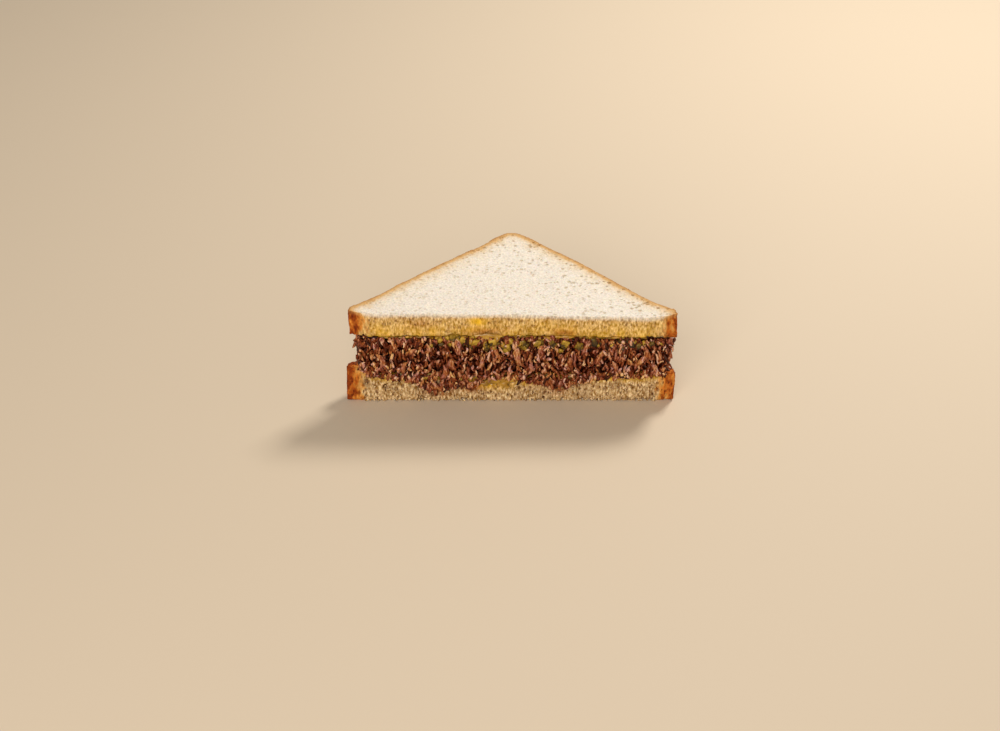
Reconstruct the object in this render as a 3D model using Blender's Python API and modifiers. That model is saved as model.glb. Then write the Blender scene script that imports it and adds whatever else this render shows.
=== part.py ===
"""Half of a square white-bread sandwich, cut corner to corner and filled with minced beef.

Lengths are in metres. The sandwich rests on Z = 0, its cut face looks along -Y, and its crusts
meet at the apex on the +Y side. While the pieces are made, Y = 0 is the cut face of the bread.
"""

import math
import random

import bmesh
import bpy
from mathutils import Matrix, Vector

# The square slices before they were halved
BOTTOM_SIDE = 0.1104
TOP_SIDE = 0.1080
CORNER_RADIUS = 0.0075
TOP_SHIFT_X = 0.0010
LEFT_BOW = 0.0006
RIGHT_BOW = 0.0015
BREAD_LINES = 14
EVEN_SHARE = 0.45
EDGE_ROUNDING = 0.0011

# Heights of the bread's faces
BOTTOM_THICKNESS = 0.0130
TOP_THICKNESS = 0.0116
TOP_THINNING = 0.017
FILLING_HEIGHT = 0.0218
UNDERSIDE_SLOPE = 0.0035
UNDERSIDE_CROWN = 0.0005
TOP_SAG = 0.0006
LEFT_TIP_RISE = 0.0027
RIGHT_TIP_RISE = 0.0024
UNEVENNESS = 0.0004
UNEVEN_LENGTH = 0.034

# Where the knife swept the tips back: the start, the curve, and how much of it the left and the
# right tip take, first on a slice's underside and then on its upper face
TIP_START = 0.057
TIP_CURVE = 16
BOTTOM_SWEEP = ((0, 0), (1, 0))
TOP_SWEEP = ((0.7, 0), (1, 1))

# What every piece keeps to its neighbour, and the layers between bread and beef
GAP = 0.0003
DRESSING_THICKNESS = 0.0010
DRESSING_INSET = 0.0090
DRESSING_LINES = 6
RELISH_THICKNESS = 0.0026
RELISH_SIDE = 0.0660
RELISH_LINES = 6
RELISH_MIDDLE_X = 0.0120
RIM_SETBACK = 0.0006

# The minced beef: a core with grains and shreds pressed into its three sides
CORE_INSET = 0.0040
CORE_CORNER = 0.0020
CORE_LINES = 8
CORE_SETBACK = 0.0010
CORE_RAISED_FROM = 0.0420
GRAIN_LENGTH = 0.0076
GRAIN_WIDTH = 0.0052
GRAIN_THICKNESS = 0.0038
GRAIN_SHAPES = 12
GRAIN_ROUGHNESS = 0.24
FRONT_PITCH = 0.0062
FRONT_ROW = 0.0045
SIDE_PITCH = 0.0100
SIDE_ROW = 0.0066
FRONT_ENDS = (0.0045, 0.0025)
SIDE_END = 0.0100
GRAIN_PROUD = 0.0006
JITTER = 0.3
SHRED_COUNT = 7
SHRED_LENGTH = 0.0110
SHRED_WIDTH = 0.0026
SHRED_Y = -0.0016

# Where beef has slipped down over the cut face: (x, depth below the slice's top, half width)
SPILLS = ((-0.0340, 0.0072, 0.0080), (-0.0190, 0.0040, 0.0060), (0.0220, 0.0048, 0.0105))
SPILL_BULGE = 0.0014
SPILL_ABOVE = 0.0060
SPILL_NECK = (0.0030, 0.0024)
HUNG_Y = -0.0026

# The chopped pickle that shows under the top slice
PICKLE_LENGTH = 0.0044
PICKLE_DEPTH = 0.0034
PICKLE_PITCH = 0.0038
PICKLE_SHAPES = 6
PICKLE_ROUGHNESS = 0.14

# Dressing squeezed out over the cut face: (x, lowest and highest z from the layer, half width)
UPPER_DRIPS = ((-0.0250, -0.0004, 0.0022, 0.0052), (-0.0105, -0.0005, 0.0034, 0.0080),
               (0.0150, -0.0004, 0.0020, 0.0050))
LOWER_DRIPS = ((-0.0560, -0.0020, 0.0004, 0.0050), (-0.0040, -0.0036, 0.0005, 0.0082),
               (0.0560, -0.0022, 0.0004, 0.0052))
DRIP_DEPTH = 0.0007
TONGUE_DEPTH = 0.0026

SEED = 11


def clear_scene():
    for obj in list(bpy.data.objects):
        bpy.data.objects.remove(obj, do_unlink=True)


def material(name, colour, roughness):
    """A food surface: a Principled BSDF of one colour."""
    made = bpy.data.materials.new(name)
    made.use_nodes = True
    shader = made.node_tree.nodes["Principled BSDF"]
    shader.inputs["Base Color"].default_value = (*colour, 1)
    shader.inputs["Roughness"].default_value = roughness
    shader.inputs["Metallic"].default_value = 0
    return made


def new_object(name, mesh, collection, finish=None):
    obj = bpy.data.objects.new(name, mesh)
    collection.objects.link(obj)
    if finish:
        mesh.materials.append(finish)
    return obj


def half_cut(side):
    """Half the length of the cut: from the middle of a slice to its rounded corner."""
    return side / math.sqrt(2) - CORNER_RADIUS * (math.sqrt(2) - 1)


def uneven(x, y):
    """A gentle wave, as soft bread never lies flat. Between -1 and 1."""
    across, along = x / UNEVEN_LENGTH, y / UNEVEN_LENGTH
    return math.sin(3 * across + 0.6) * math.cos(2 * along + 0.3)


def bottom_slice_top(x, y):
    """The lower slice is pressed thin under the filling and stays thick at its two tips."""
    tip_rise = RIGHT_TIP_RISE if x > 0 else LEFT_TIP_RISE
    share = min(1, abs(x) / half_cut(BOTTOM_SIDE))
    return BOTTOM_THICKNESS + tip_rise * share**4 + UNEVENNESS * uneven(x, y)


def top_slice_underside(x, y):
    """The upper slice leans a little to the right, and the filling pushes up its middle."""
    share = min(1, math.hypot(x, y) / half_cut(TOP_SIDE))
    crown = UNDERSIDE_CROWN * (1 - share**2)
    middle = BOTTOM_THICKNESS + FILLING_HEIGHT
    return middle - UNDERSIDE_SLOPE * x + crown + UNEVENNESS * uneven(y, x)


def top_slice_top(x, y):
    """The upper slice is thinner at its right."""
    share = min(1, math.hypot(x, y - half_cut(TOP_SIDE) / 3) / half_cut(TOP_SIDE))
    thickness = TOP_THICKNESS - TOP_THINNING * x - TOP_SAG * (1 - share)
    return top_slice_underside(x, y) + thickness + UNEVENNESS * uneven(x + y, x)


def dressing_reaches(x, y, margin=0):
    """Whether a layer of dressing lies above and below the point (x, y)."""
    diagonal = (TOP_SIDE / 2 - DRESSING_INSET) * math.sqrt(2)
    return abs(x) + abs(y) < diagonal + margin


def relish_reaches(x, y, margin=0):
    """Whether the relish lies above the point (x, y)."""
    return abs(x - RELISH_MIDDLE_X) + abs(y) < RELISH_SIDE / math.sqrt(2) + margin


def beef_floor(x, y):
    """The lowest that beef may reach, above the lower slice and its dressing."""
    dressing = DRESSING_THICKNESS + GAP if dressing_reaches(x, y, GRAIN_LENGTH / 2) else 0
    return bottom_slice_top(x, y) + GAP + dressing


def beef_ceiling(x, y):
    """The highest that beef may reach, below the relish, the dressing and the upper slice."""
    dressing = DRESSING_THICKNESS + GAP if dressing_reaches(x, y, GRAIN_LENGTH / 2) else 0
    relish = PICKLE_DEPTH + GAP if relish_reaches(x, y, GRAIN_LENGTH / 2) else 0
    return top_slice_underside(x, y) - GAP - dressing - relish


def core_floor(x, y):
    return bottom_slice_top(x, y) + DRESSING_THICKNESS + 2 * GAP


def core_ceiling(x, y):
    """Level below the relish. It rises beside it, towards the crusts."""
    outwards = (abs(x - TOP_SHIFT_X) + abs(y)) / math.sqrt(2) - CORE_RAISED_FROM
    room = TOP_SIDE / 2 - CORE_INSET - CORE_RAISED_FROM
    relish = (PICKLE_DEPTH + GAP) * (1 - min(1, max(0, outwards / room)))
    return top_slice_underside(x, y) - DRESSING_THICKNESS - 2 * GAP - relish


def crowded(value, half):
    """Moves an even grid line outwards, so that the lines lie closer together near the crust."""
    share = value / half
    return half * (EVEN_SHARE * share + (1 - EVEN_SHARE) * math.sin(share * math.pi / 2))


def corner_rounded(u, v, half, radius):
    """Pulls a point of a square in, so that each ring of the square gets round corners."""
    ring = max(abs(u), abs(v))
    if ring == 0:
        return 0, 0
    a, b = abs(u) / ring, abs(v) / ring
    rho = radius / half
    centre = 1 - rho
    if min(a, b) <= centre:
        return u, v
    length2 = a * a + b * b
    along = centre * (a + b)
    shrink = (along + math.sqrt(along**2 - length2 * (2 * centre**2 - rho**2))) / length2
    return u * shrink, v * shrink


def bowed(u, v, half):
    """Pushes the two crust sides of a square outwards, the most in their middles."""
    right = RIGHT_BOW * max(0, u / half) ** 3 * (1 - (v / half) ** 2)
    left = LEFT_BOW * max(0, v / half) ** 3 * (1 - (u / half) ** 2)
    return u + right, v + left


def swept_back(x, shares):
    """How far back the knife pushed a point, where shares are for the left and the right tip."""
    share = shares[1] if x > 0 else shares[0]
    return share * TIP_CURVE * max(0, abs(x) - TIP_START) ** 2


def half_slice(side, radius, lines):
    """A flat half of a round-cornered square, cut along X, with its apex at +Y."""
    bm = bmesh.new()
    half = side / 2
    bmesh.ops.create_grid(bm, x_segments=lines, y_segments=lines, size=half)
    for vert in bm.verts:
        u, v = crowded(vert.co.x, half), crowded(vert.co.y, half)
        vert.co.x, vert.co.y = bowed(*corner_rounded(u, v, half, radius), half)
    bmesh.ops.rotate(bm, verts=bm.verts, cent=(0, 0, 0), matrix=Matrix.Rotation(math.pi / 4, 3, "Z"))
    whole = [*bm.verts, *bm.edges, *bm.faces]
    bmesh.ops.bisect_plane(
        bm, geom=whole, dist=1e-6, plane_co=(0, 0, 0), plane_no=(0, 1, 0), clear_inner=True
    )
    return bm


def slab(name, flat, low, high, shift, sweep=((0, 0), (0, 0))):
    """Thickens a flat sheet into a solid whose faces follow low(x, y) and high(x, y)."""
    grown = bmesh.ops.extrude_face_region(flat, geom=flat.faces[:], use_keep_orig=True)
    upper = {item for item in grown["geom"] if isinstance(item, bmesh.types.BMVert)}
    for vert in flat.verts:
        vert.co.x += shift[0]
        vert.co.y += shift[1] + swept_back(vert.co.x, sweep[vert in upper])
        surface = high if vert in upper else low
        vert.co.z = surface(vert.co.x, vert.co.y)
    bmesh.ops.recalc_face_normals(flat, faces=flat.faces)
    mesh = bpy.data.meshes.new(name)
    flat.to_mesh(mesh)
    flat.free()
    return mesh


def soften(obj, width, segments=2):
    """Rounds the edges between a piece's faces and its sides, and shades it smooth."""
    bevel = obj.modifiers.new("soft_edges", "BEVEL")
    bevel.width = width
    bevel.segments = segments
    bevel.limit_method = "ANGLE"
    bevel.angle_limit = math.radians(55)
    obj.data.shade_smooth()


def bread_slice(name, flat, low, high, shift, sweep, collection, finish):
    mesh = slab(name, flat, low, high, (shift, 0), sweep)
    soften(new_object(name, mesh, collection, finish), EDGE_ROUNDING)


def evaluated_copy(obj):
    """The object's mesh with its modifiers applied."""
    graph = bpy.context.evaluated_depsgraph_get()
    return bpy.data.meshes.new_from_object(obj.evaluated_get(graph))


def outer_shell(mesh):
    """Keeps only the largest connected shell: sealed hollows are filled, loose scraps dropped."""
    bm = bmesh.new()
    bm.from_mesh(mesh)
    islands, unseen = [], set(bm.faces)
    while unseen:
        island, edge_of_search = set(), [unseen.pop()]
        while edge_of_search:
            face = edge_of_search.pop()
            island.add(face)
            near = {other for edge in face.edges for other in edge.link_faces} & unseen
            unseen -= near
            edge_of_search.extend(near)
        islands.append(island)
    islands.sort(key=lambda faces: sum(face.calc_area() for face in faces))
    scraps = [face for island in islands[:-1] for face in island]
    bmesh.ops.delete(bm, geom=scraps, context="FACES")
    bmesh.ops.triangulate(bm, faces=bm.faces)
    bm.to_mesh(mesh)
    bm.free()


def fuse(core, pieces, finish):
    """Joins a collection of small solids to their core with one Boolean union."""
    union = core.modifiers.new("fused_pieces", "BOOLEAN")
    union.operation = "UNION"
    union.operand_type = "COLLECTION"
    union.collection = pieces
    union.solver = "MANIFOLD"
    fused = evaluated_copy(core)
    outer_shell(fused)
    core.modifiers.clear()
    core.data = fused
    for obj in list(pieces.objects):
        bpy.data.objects.remove(obj, do_unlink=True)
    bpy.data.collections.remove(pieces)
    core.data.materials.clear()
    core.data.materials.append(finish)


def round_shape(subdivisions):
    """A ball of unit radius."""
    bm = bmesh.new()
    bmesh.ops.create_icosphere(bm, subdivisions=subdivisions, radius=1)
    mesh = bpy.data.meshes.new("round_shape")
    bm.to_mesh(mesh)
    bm.free()
    return mesh


def lump_shapes(rng, count, rough):
    """A few craggy lumps of about unit radius, shared by all the grains of one food."""
    shapes = []
    for _ in range(count):
        mesh = round_shape(1)
        for vert in mesh.vertices:
            vert.co *= rng.uniform(1 - rough, 1)
        shapes.append(mesh)
    return shapes


def shred_shape(rng):
    """A strip of meat fibre: a thin five-sided prism, bent and tapered, two units long."""
    bm = bmesh.new()
    bmesh.ops.create_cone(
        bm, segments=5, radius1=0.22, radius2=0.22, depth=2, cap_ends=True, cap_tris=False
    )
    for cut in (-0.45, 0.1, 0.6):
        whole = [*bm.verts, *bm.edges, *bm.faces]
        bmesh.ops.bisect_plane(bm, geom=whole, dist=1e-6, plane_co=(0, 0, cut), plane_no=(0, 0, 1))
    bend = rng.uniform(0.15, 0.45) * rng.choice((-1, 1))
    for vert in bm.verts:
        taper = 1 - 0.45 * abs(vert.co.z) ** 2
        vert.co.x *= taper * 0.7
        vert.co.y *= taper
        vert.co.x += bend * (vert.co.z**2 - 0.4)
    bmesh.ops.rotate(bm, verts=bm.verts, cent=(0, 0, 0), matrix=Matrix.Rotation(math.pi / 2, 3, "Y"))
    mesh = bpy.data.meshes.new("shred_shape")
    bm.to_mesh(mesh)
    bm.free()
    return mesh


def reach(turn, size):
    """How far a turned ellipsoid of half sizes size reaches along X, Y and Z."""
    return Vector(
        math.sqrt(sum((turn[axis][i] * size[i]) ** 2 for i in range(3))) for axis in range(3)
    )


def place(pieces, mesh, centre, turn, size):
    obj = bpy.data.objects.new("piece", mesh)
    pieces.objects.link(obj)
    obj.matrix_world = (
        Matrix.Translation(centre) @ turn.to_4x4() @ Matrix.Diagonal((*size, 1))
    )


def along_face(rng, face_angle):
    """A turn that lays a grain flat against a side face, pointing any way within the face."""
    spin = Matrix.Rotation(rng.uniform(-1.5, 1.5), 3, "Y")
    lean = Matrix.Rotation(face_angle + rng.uniform(-0.45, 0.45), 3, "Z")
    return lean @ spin


def random_size(rng, length, thickness, width):
    """Half sizes of one piece of chopped food, which comes in all sizes."""
    scale = rng.uniform(0.74, 1.12)
    return Vector((length, thickness * rng.uniform(0.85, 1.2), width)) / 2 * scale


def between(low, value, high):
    """value kept from low to high, or their middle where they leave no room."""
    return (low + high) / 2 if low > high else min(max(value, low), high)


def add_grain(rng, pieces, shapes, x, y, z):
    """One grain on the cut face, kept above the lower slice or, if it hangs, clear in front."""
    turn = along_face(rng, 0)
    size = random_size(rng, GRAIN_LENGTH, GRAIN_THICKNESS, GRAIN_WIDTH)
    stands = reach(turn, size)
    z = min(z, beef_ceiling(x, 0) - stands.z)
    if y > HUNG_Y:
        z = max(z, beef_floor(x, 0) + stands.z)
    else:
        y = min(y, -stands.y - 1.5 * GAP)
    place(pieces, rng.choice(shapes), (x, y, z), turn, size)


def add_front_beef(rng, pieces, shapes):
    """Rows of grains over the cut face."""
    half = half_cut(TOP_SIDE)
    left, right = TOP_SHIFT_X - half + FRONT_ENDS[0], TOP_SHIFT_X + half - FRONT_ENDS[1]
    columns = round((right - left) / FRONT_PITCH)
    for column in range(columns + 1):
        middle = left + (right - left) * column / columns
        lowest = beef_floor(middle, 0) + GRAIN_THICKNESS / 3
        highest = beef_ceiling(middle, 0) - GRAIN_THICKNESS / 3
        rows = round((highest - lowest) / FRONT_ROW)
        for row in range(rows + 1):
            x = middle + rng.uniform(-JITTER, JITTER) * FRONT_PITCH
            z = lowest + (highest - lowest) * (row + rng.uniform(-JITTER, JITTER)) / rows
            y = rng.uniform(-GRAIN_PROUD, GRAIN_PROUD) + swept_back(x, TOP_SWEEP[0])
            add_grain(rng, pieces, shapes, x, y, z)


def add_spills(rng, pieces, shapes):
    """Beef that hangs before the lower slice. A neck joins each bulge of grains to the core."""
    bulge_shape = round_shape(2)
    for x, depth, half_width in SPILLS:
        top = bottom_slice_top(x, 0)
        neck = (half_width * 0.8, *SPILL_NECK)
        neck_z = beef_floor(x, 0) + SPILL_NECK[1] + GAP
        place(pieces, bulge_shape, (x, 0, neck_z), Matrix.Identity(3), neck)
        size = (half_width, SPILL_BULGE, (depth + SPILL_ABOVE) / 2)
        middle = (x, -SPILL_BULGE - GAP, top + (SPILL_ABOVE - depth) / 2)
        place(pieces, bulge_shape, middle, Matrix.Identity(3), size)
        columns = round(2 * half_width / FRONT_PITCH)
        for column in range(columns + 1):
            across = 2 * column / columns - 1
            hangs = (depth - GRAIN_WIDTH / 3) * math.sqrt(max(0, 1 - across**2))
            rows = max(1, round(hangs / FRONT_ROW))
            for row in range(rows + 1):
                grain_x = x + (half_width - GRAIN_WIDTH / 3) * across
                z = top + GRAIN_PROUD - hangs * (row + rng.uniform(-JITTER, JITTER)) / rows
                add_grain(rng, pieces, shapes, grain_x, HUNG_Y, z)


def add_side_beef(rng, pieces, shapes):
    """Rows of grains along the two crust sides, a little inside the crust."""
    reach_along = TOP_SIDE / 2 - SIDE_END
    columns = round(2 * reach_along / SIDE_PITCH)
    for side in (-1, 1):
        out = Vector((side, 1, 0)) / math.sqrt(2)
        along = Vector((-side, 1, 0)) / math.sqrt(2)
        middle = Vector((TOP_SHIFT_X, 0, 0)) + out * (TOP_SIDE / 2 - CORE_INSET + GRAIN_PROUD)
        for column in range(columns + 1):
            foot = middle + along * reach_along * (2 * column / columns - 1)
            low = bottom_slice_top(foot.x, foot.y) + 1.5 * GAP
            high = top_slice_underside(foot.x, foot.y) - 1.5 * GAP
            rows = round((high - low) / SIDE_ROW)
            for row in range(rows + 1):
                turn = along_face(rng, -side * math.pi / 4)
                size = random_size(rng, GRAIN_LENGTH, GRAIN_THICKNESS, GRAIN_WIDTH)
                stands = reach(turn, size)
                centre = foot + along * rng.uniform(-JITTER, JITTER) * SIDE_PITCH
                centre += out * rng.uniform(-GRAIN_PROUD, GRAIN_PROUD)
                z = low + (high - low) * (row + rng.uniform(-JITTER, JITTER)) / rows
                centre.z = between(low + stands.z, z, high - stands.z)
                place(pieces, rng.choice(shapes), centre, turn, size)


def add_shreds(rng, pieces):
    """Longer fibres, lying across the grains of the cut face."""
    half = half_cut(TOP_SIDE) - SHRED_LENGTH
    for index in range(SHRED_COUNT):
        x = half * (2 * (index + rng.uniform(0.2, 0.8)) / SHRED_COUNT - 1)
        size = Vector((SHRED_LENGTH, SHRED_WIDTH, SHRED_WIDTH)) / 2 * rng.uniform(0.75, 1.1)
        turn = Matrix.Rotation(rng.uniform(0.3, 1.3) * rng.choice((-1, 1)), 3, "Y")
        stands = reach(turn, size)
        low, high = beef_floor(x, 0) + stands.z, beef_ceiling(x, 0) - stands.z
        z = between(low, rng.uniform(low, high), high)
        place(pieces, shred_shape(rng), (x, SHRED_Y, z), turn, size)


def food_node(name, flat, low, high, shift, collection):
    """The bare core of a layer or heap, and an empty collection for what is fused to it."""
    core = new_object(name, slab(name, flat, low, high, shift), collection)
    pieces = bpy.data.collections.new(name + "_pieces")
    bpy.context.scene.collection.children.link(pieces)
    return core, pieces


def minced_beef(rng, collection, finish):
    """One heap: a core inside the bread's outline, with the grains that show fused to it."""
    flat = half_slice(TOP_SIDE - 2 * CORE_INSET, CORE_CORNER, CORE_LINES)
    shift = (TOP_SHIFT_X, CORE_SETBACK)
    core, pieces = food_node("minced_beef", flat, core_floor, core_ceiling, shift, collection)
    shapes = lump_shapes(rng, GRAIN_SHAPES, GRAIN_ROUGHNESS)
    add_front_beef(rng, pieces, shapes)
    add_spills(rng, pieces, shapes)
    add_side_beef(rng, pieces, shapes)
    add_shreds(rng, pieces)
    fuse(core, pieces, finish)


def pickle_relish(rng, collection, finish):
    """The chopped pickle: a layer through the sandwich, with the cubes that show fused on."""
    def roof(x, y):
        return top_slice_underside(x, y) - DRESSING_THICKNESS - 2 * GAP

    def base(x, y):
        return roof(x, y) - RELISH_THICKNESS

    flat = half_slice(RELISH_SIDE, CORNER_RADIUS, RELISH_LINES)
    shift = (RELISH_MIDDLE_X, RIM_SETBACK)
    core, pieces = food_node("pickle_relish", flat, base, roof, shift, collection)
    shapes = lump_shapes(rng, PICKLE_SHAPES, PICKLE_ROUGHNESS)
    half = half_cut(RELISH_SIDE) + PICKLE_LENGTH / 4
    count = round(2 * half / PICKLE_PITCH)
    for index in range(count + 1):
        x = RELISH_MIDDLE_X - half + 2 * half * index / count
        turn = along_face(rng, 0)
        size = random_size(rng, PICKLE_LENGTH, PICKLE_DEPTH, PICKLE_DEPTH * 0.8)
        stands = reach(turn, size)
        low, high = roof(x, 0) - PICKLE_DEPTH + stands.z, roof(x, 0) - stands.z
        z = between(low, rng.uniform(low, high), high)
        y = rng.uniform(-GRAIN_PROUD, GRAIN_PROUD) - GRAIN_PROUD
        place(pieces, rng.choice(shapes), (x, y, z), turn, size)
    fuse(core, pieces, finish)


def dressing(name, low, drips, collection, finish):
    """Mustard dressing spread on a slice, with the drips that the cut squeezed out."""
    flat = half_slice(TOP_SIDE - 2 * DRESSING_INSET, CORNER_RADIUS, DRESSING_LINES)
    shift = (TOP_SHIFT_X, RIM_SETBACK)

    def high(x, y):
        return low(x, y) + DRESSING_THICKNESS

    core, pieces = food_node(name, flat, low, high, shift, collection)
    tongue_shape, drip_shape = round_shape(1), round_shape(2)
    for x, lowest, highest, half_width in drips:
        layer = low(x, 0) + DRESSING_THICKNESS / 2
        tongue = (half_width * 0.8, TONGUE_DEPTH, DRESSING_THICKNESS / 2)
        place(pieces, tongue_shape, (x, RIM_SETBACK, layer), Matrix.Identity(3), tongue)
        drip = (half_width, DRIP_DEPTH, (highest - lowest) / 2)
        middle = (x, -DRIP_DEPTH - GAP, layer + (highest + lowest) / 2)
        place(pieces, drip_shape, middle, Matrix.Identity(3), drip)
    fuse(core, pieces, finish)


def stand_on_origin(collection):
    """Hangs every piece on one empty, so that the middle of the sandwich's base is the origin."""
    graph = bpy.context.evaluated_depsgraph_get()
    corners = [corner for obj in collection.objects for corner in obj.evaluated_get(graph).bound_box]
    along_x = [corner[0] for corner in corners]
    along_y = [corner[1] for corner in corners]
    anchor = bpy.data.objects.new("sandwich_middle", None)
    anchor.location.x = -(min(along_x) + max(along_x)) / 2
    anchor.location.y = -(min(along_y) + max(along_y)) / 2
    for obj in list(collection.objects):
        obj.parent = anchor
    collection.objects.link(anchor)


def main():
    clear_scene()
    sandwich = bpy.data.collections.new("sandwich_half")
    bpy.context.scene.collection.children.link(sandwich)
    rng = random.Random(SEED)
    crumb = material("white_bread", (0.82, 0.68, 0.45), 0.9)
    meat = material("minced_beef", (0.19, 0.07, 0.035), 0.55)
    pickle = material("pickle_relish", (0.16, 0.15, 0.03), 0.35)
    mustard = material("mustard_dressing", (0.75, 0.52, 0.14), 0.4)
    bread_slice(
        "bread_bottom",
        half_slice(BOTTOM_SIDE, CORNER_RADIUS, BREAD_LINES),
        lambda x, y: 0,
        bottom_slice_top,
        0,
        BOTTOM_SWEEP,
        sandwich,
        crumb,
    )
    bread_slice(
        "bread_top",
        half_slice(TOP_SIDE, CORNER_RADIUS, BREAD_LINES),
        top_slice_underside,
        top_slice_top,
        TOP_SHIFT_X,
        TOP_SWEEP,
        sandwich,
        crumb,
    )
    minced_beef(rng, sandwich, meat)
    pickle_relish(rng, sandwich, pickle)
    dressing(
        "dressing_lower", lambda x, y: bottom_slice_top(x, y) + GAP, LOWER_DRIPS, sandwich, mustard
    )
    dressing(
        "dressing_upper",
        lambda x, y: top_slice_underside(x, y) - GAP - DRESSING_THICKNESS,
        UPPER_DRIPS,
        sandwich,
        mustard,
    )
    stand_on_origin(sandwich)


main()
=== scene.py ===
# %% [markdown]
# # Half a minced-beef sandwich
# A square sandwich of soft white bread was cut corner to corner, and this is one half of it. The
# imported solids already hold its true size. This file gives them their looks: bread crumb with its
# pores and browned crust, the chopped beef, pieces of gherkin, and a mustard dressing.
# Every length is in metres, and MM turns millimetres into metres.

# %% Load the solids and measure them
import math
import random

import bpy
import numpy as np
from mathutils import Matrix, Vector, noise
from mathutils.bvhtree import BVHTree


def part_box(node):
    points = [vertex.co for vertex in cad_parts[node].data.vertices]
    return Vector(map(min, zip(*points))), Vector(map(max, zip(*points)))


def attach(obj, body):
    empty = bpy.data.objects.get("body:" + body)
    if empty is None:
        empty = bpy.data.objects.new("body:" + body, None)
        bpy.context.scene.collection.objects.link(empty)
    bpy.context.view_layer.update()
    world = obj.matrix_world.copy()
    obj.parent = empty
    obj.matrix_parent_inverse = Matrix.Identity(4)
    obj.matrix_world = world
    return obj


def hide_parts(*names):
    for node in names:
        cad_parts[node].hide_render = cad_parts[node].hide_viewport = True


MM = 0.001
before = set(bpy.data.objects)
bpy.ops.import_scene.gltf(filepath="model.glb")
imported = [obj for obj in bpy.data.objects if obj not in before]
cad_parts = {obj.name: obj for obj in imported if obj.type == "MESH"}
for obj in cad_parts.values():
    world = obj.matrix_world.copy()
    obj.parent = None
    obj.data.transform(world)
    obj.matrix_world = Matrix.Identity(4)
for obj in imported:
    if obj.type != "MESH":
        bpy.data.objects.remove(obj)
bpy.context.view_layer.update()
lower_box, upper_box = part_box("bread_bottom"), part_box("bread_top")
cut_y = lower_box[0].y
print("cut face at y =", round(cut_y / MM, 1), "mm; lower slice", (lower_box[1] - lower_box[0]) / MM)

# %% [markdown]
# Every layer has to know how high the lower slice is at a place, and how low the upper one hangs.
# A ray shot at the solids answers both, so no height is typed in. Rays keep EDGE behind the cut
# and TIP away from the corners, to be sure of a face.

# %% Heights of the two slices
EDGE, TIP, FAR = 5 * MM, 3.5 * MM, 1.0
UP, DOWN = Vector((0, 0, 1)), Vector((0, 0, -1))


def faces_to_hit(node):
    """The faces of a solid, sorted so that a ray finds the one it hits."""
    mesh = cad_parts[node].data
    return BVHTree.FromPolygons([v.co for v in mesh.vertices], [p.vertices for p in mesh.polygons])


lower_faces, upper_faces = faces_to_hit("bread_bottom"), faces_to_hit("bread_top")


def height_hit(faces, x, y, start_z, way):
    """Height at which a ray from (x, y, start_z) meets the faces."""
    return faces.ray_cast(Vector((x, max(y, cut_y + EDGE), start_z)), way)[0].z


def lower_slice_top(x, y=cut_y):
    return height_hit(lower_faces, x, y, FAR, DOWN)


def upper_slice_underside(x, y=cut_y):
    return height_hit(upper_faces, x, y, lower_box[1].z, UP)


def upper_slice_top(x, y=cut_y):
    return height_hit(upper_faces, x, y, FAR, DOWN)


def clamp(low, value, high):
    return max(low, min(value, high))


def in_slices(x):
    """x kept where both slices have a face above or below it."""
    return clamp(upper_box[0].x + TIP, x, upper_box[1].x - TIP)


room = upper_slice_underside(0) - lower_slice_top(0)
print("room for the filling in the middle:", room / MM, "mm")

# %% [markdown]
# ## Small tools
# An operator works on what is selected, so one function selects a single object, and another
# deselects everything before it adds a primitive. A third adds a modifier and applies it.

# %% Selecting, editing and applying
def select_only(obj):
    bpy.ops.object.select_all(action="DESELECT")
    obj.select_set(True)
    bpy.context.view_layer.objects.active = obj


def start_from(add_primitive, **sizes):
    """A new primitive, added while nothing else is selected."""
    bpy.ops.object.select_all(action="DESELECT")
    add_primitive(**sizes)
    return bpy.context.object


def new_object(name, data):
    obj = bpy.data.objects.new(name, data)
    bpy.context.scene.collection.objects.link(obj)
    return obj


def edit_all():
    """Opens the active object in edit mode, all of it selected."""
    bpy.ops.object.mode_set(mode="EDIT")
    bpy.ops.mesh.select_all(action="SELECT")


def end_edit():
    bpy.ops.object.mode_set(mode="OBJECT")


def apply_modifier(obj, kind, **settings):
    select_only(obj)
    modifier = obj.modifiers.new(kind.title(), kind)
    for name, value in settings.items():
        setattr(modifier, name, value)
    bpy.ops.object.modifier_apply(modifier=modifier.name)


def displace(obj, texture, strength, mid_level=0.5):
    """Moves every point along its normal by the texture, whose mid_level leaves it where it is."""
    settings = {"texture": texture, "strength": strength, "mid_level": mid_level}
    apply_modifier(obj, "DISPLACE", texture_coords="LOCAL", **settings)


print("tools are ready in Blender", bpy.app.version_string)

# %% [markdown]
# Some shapes are moved point by point, so the points are read as one array and written back. A
# number painted on every point tells the material how brown or wet the piece is there, and how
# much painted shade it has.

# %% Points, painted numbers and finished pieces
def points_of(obj):
    """The object's vertices as an array, one row each."""
    points = np.empty(len(obj.data.vertices) * 3)
    obj.data.vertices.foreach_get("co", points)
    return points.reshape(-1, 3)


def move_points(obj, points):
    obj.data.vertices.foreach_set("co", points.ravel())
    obj.data.update()


def paint(obj, name, values):
    """Stores a number on each vertex: its own, or the same on all."""
    layer = obj.data.attributes.new(name, "FLOAT", "POINT")
    layer.data.foreach_set("value", np.full(len(obj.data.vertices), values, dtype=np.float32))


def finish_piece(obj, material, slot, *nodes):
    """Gives a piece its material, hangs it on the sandwich and hides the solids it stands for."""
    obj.data.materials.clear()
    obj.data.materials.append(material)
    obj.data.shade_smooth()
    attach(obj, "root")
    if nodes:
        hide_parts(*nodes)
    obj.data.calc_loop_triangles()
    print(obj.name, "has", len(obj.data.loop_triangles), "triangles")


print("solids to dress:", sorted(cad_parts))

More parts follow.
